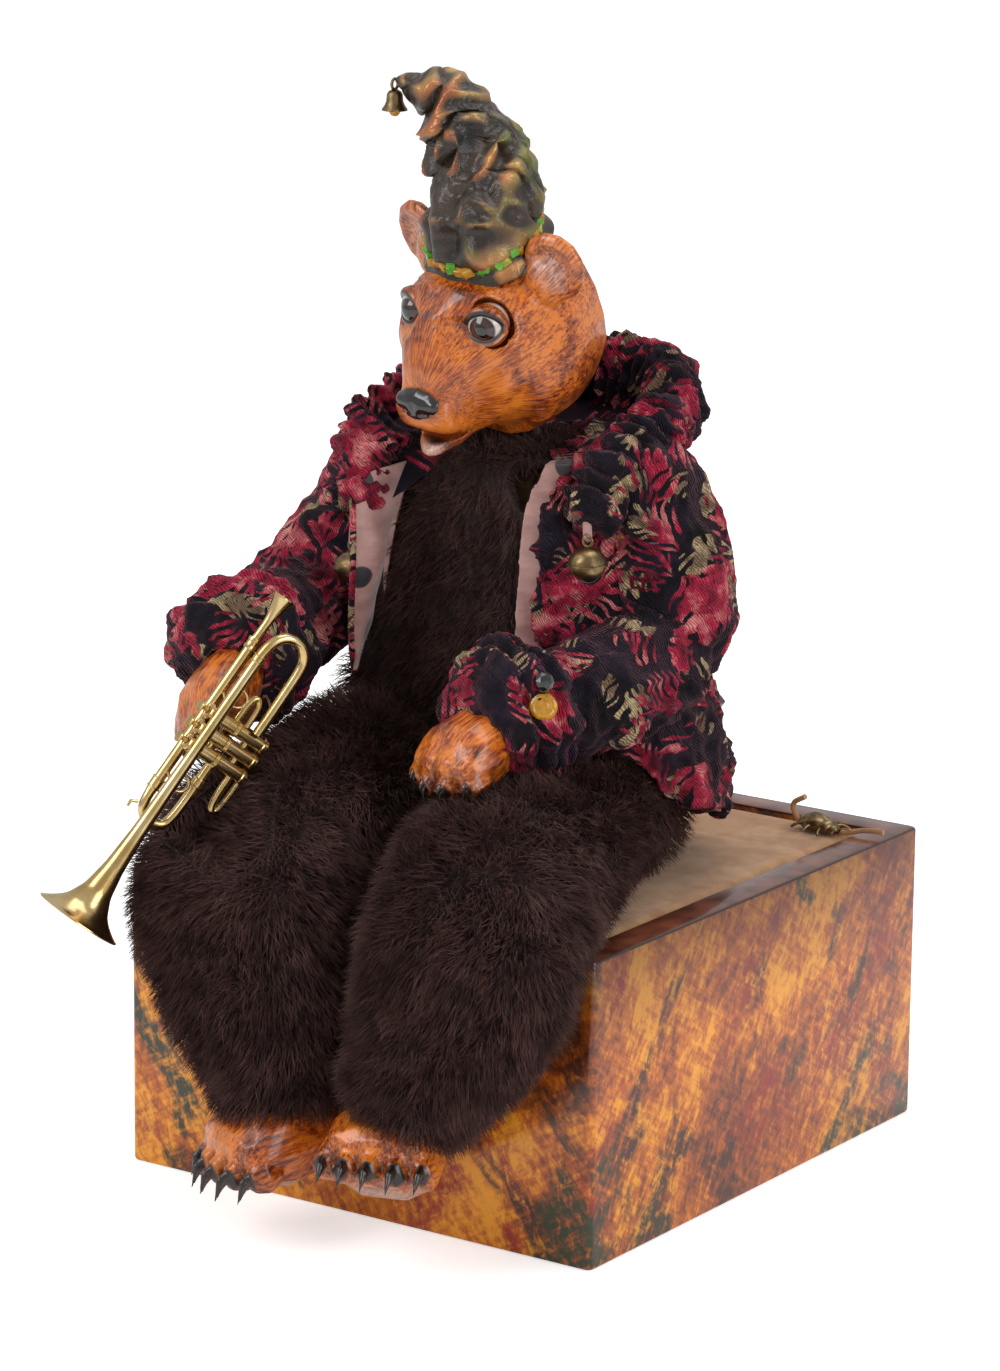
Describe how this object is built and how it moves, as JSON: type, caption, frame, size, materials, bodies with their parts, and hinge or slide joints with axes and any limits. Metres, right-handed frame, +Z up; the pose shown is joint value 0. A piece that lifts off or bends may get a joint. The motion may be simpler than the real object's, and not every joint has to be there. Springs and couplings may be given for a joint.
{
  "type": "crank automaton figure",
  "caption": "Seated bear musician with a trumpet, hat and velvet jacket on a painted wooden box; a rear crank turns the head and raises the trumpet arm.",
  "frame": {"origin": "centre of the box's underside", "axes": "+Z up, the box's front face and the bear's face look to -Y, the bear's left hand is on +X"},
  "size_m": [0.2871, 0.4356, 0.5385],
  "materials": {
    "painted_wood": "mottled paint under gloss varnish",
    "plain_wood": "bare, sanded",
    "dark_wood": "gloss varnish",
    "carved_wood": "carved, painted and varnished",
    "black_gloss": "gloss",
    "steel": "drawn rod",
    "brass": "polished",
    "old_brass": "antique",
    "suede": "suede nap",
    "fur": "long pile fur",
    "velvet": "crushed velvet",
    "satin": "satin lining",
    "hat_leather": "crumpled, rubbed",
    "green_glass": "clear coloured",
    "amber_glass": "clear coloured",
    "eye_glass": "gloss"
  },
  "bodies": {
    "box": {"box_front": "painted_wood", "box_back": "painted_wood", "box_right": "painted_wood", "box_left": "painted_wood", "box_bottom": "plain_wood", "ledge": "plain_wood", "seat_board": "plain_wood", "seat_suede": "suede", "bearing_front": "plain_wood", "bearing_rear": "plain_wood", "shaft_bush": "brass", "torso_frame": "plain_wood", "neck_plate": "plain_wood", "rod_guide": "plain_wood", "torso_fur": "fur", "left_leg": "fur", "right_leg": "fur", "left_foot": "carved_wood", "right_foot": "carved_wood", "jacket_body": "velvet", "jacket_lining": "satin", "collar": "velvet", "left_sleeve": "velvet", "left_cuff": "velvet", "left_paw": "carved_wood", "cuff_button": "amber_glass", "cuff_bead": "black_gloss", "left_ribbon": "velvet", "right_ribbon": "velvet"},
    "crank": {"camshaft": "plain_wood", "crank_arm": "steel", "knob_pin": "steel"},
    "knob": {"crank_knob": "dark_wood"},
    "head": {"neck_rod": "steel", "head_disc": "plain_wood", "head_shell": "carved_wood", "right_eye": "eye_glass", "left_eye": "eye_glass", "nose": "black_gloss", "hat": "hat_leather", "bead_band": "green_glass"},
    "hat_bell": {"hat_bell": "old_brass", "hat_bell_clapper": "amber_glass"},
    "arm": {"shoulder_axle": "steel", "shoulder_lever": "steel", "right_sleeve": "velvet", "right_cuff": "velvet", "right_paw": "carved_wood", "trumpet_body": "brass"},
    "valve_1": {"valve_1": "brass"},
    "valve_2": {"valve_2": "brass"},
    "valve_3": {"valve_3": "brass"},
    "arm_rod": {"arm_push_rod": "steel"},
    "hatch": {"hatch_board": "plain_wood", "hatch_suede": "suede", "pull_beetle": "old_brass", "pull_thong": "suede"},
    "left_bell": {"left_lapel_bell": "old_brass"},
    "right_bell": {"right_lapel_bell": "old_brass"}
  },
  "joints": [
    {"name": "crank_spin", "type": "hinge", "parent": "box", "child": "crank", "pos_m": [0, 0, 0.106], "axis": [0, 1, 0], "continuous": true},
    {"name": "knob_spin", "type": "hinge", "parent": "crank", "child": "knob", "pos_m": [-0.00749, 0, 0.19167], "axis": [0, 1, 0], "continuous": true},
    {"name": "head_turn", "type": "hinge", "parent": "box", "child": "head", "pos_m": [0, 0, 0.3], "axis": [0, 0, 1], "range_deg": [-25, 25]},
    {"name": "hat_bell_swing", "type": "hinge", "parent": "head", "child": "hat_bell", "pos_m": [-0.0573, -0.04, 0.53285], "axis": [1, 0, 0], "range_deg": [-15, 15]},
    {"name": "arm_raise", "type": "hinge", "parent": "box", "child": "arm", "pos_m": [0, -0.016, 0.336], "axis": [-1, 0, 0], "range_deg": [0, 20]},
    {"name": "arm_rod_slide", "type": "slide", "parent": "box", "child": "arm_rod", "axis": [0, 0, 1], "range_m": [0, 0.0041]},
    {"name": "hatch_hinge", "type": "hinge", "parent": "box", "child": "hatch", "pos_m": [0, 0.078, 0.15], "axis": [1, 0, 0], "range_deg": [0, 75]},
    {"name": "left_bell_swing", "type": "hinge", "parent": "box", "child": "left_bell", "pos_m": [0.074, -0.064, 0.32975], "axis": [0, -1, 0], "range_deg": [-20, 20]},
    {"name": "right_bell_swing", "type": "hinge", "parent": "box", "child": "right_bell", "pos_m": [-0.052, -0.08, 0.3135], "axis": [0, -1, 0], "range_deg": [-15, 15]},
    {"name": "valve_1_press", "type": "slide", "parent": "arm", "child": "valve_1", "axis": [0.411, 0.6911, -0.5945], "range_m": [0, 0.0035], "stiffness_N_per_m": 60, "springref_m": -0.002},
    {"name": "valve_2_press", "type": "slide", "parent": "arm", "child": "valve_2", "axis": [0.411, 0.6911, -0.5945], "range_m": [0, 0.0035], "stiffness_N_per_m": 60, "springref_m": -0.002},
    {"name": "valve_3_press", "type": "slide", "parent": "arm", "child": "valve_3", "axis": [0.411, 0.6911, -0.5945], "range_m": [0, 0.0035], "stiffness_N_per_m": 60, "springref_m": -0.002}
  ],
  "couplings": [
    {"joint": "arm_rod_slide", "follows": "arm_raise", "m_per_rad": 0.0117}
  ]
}
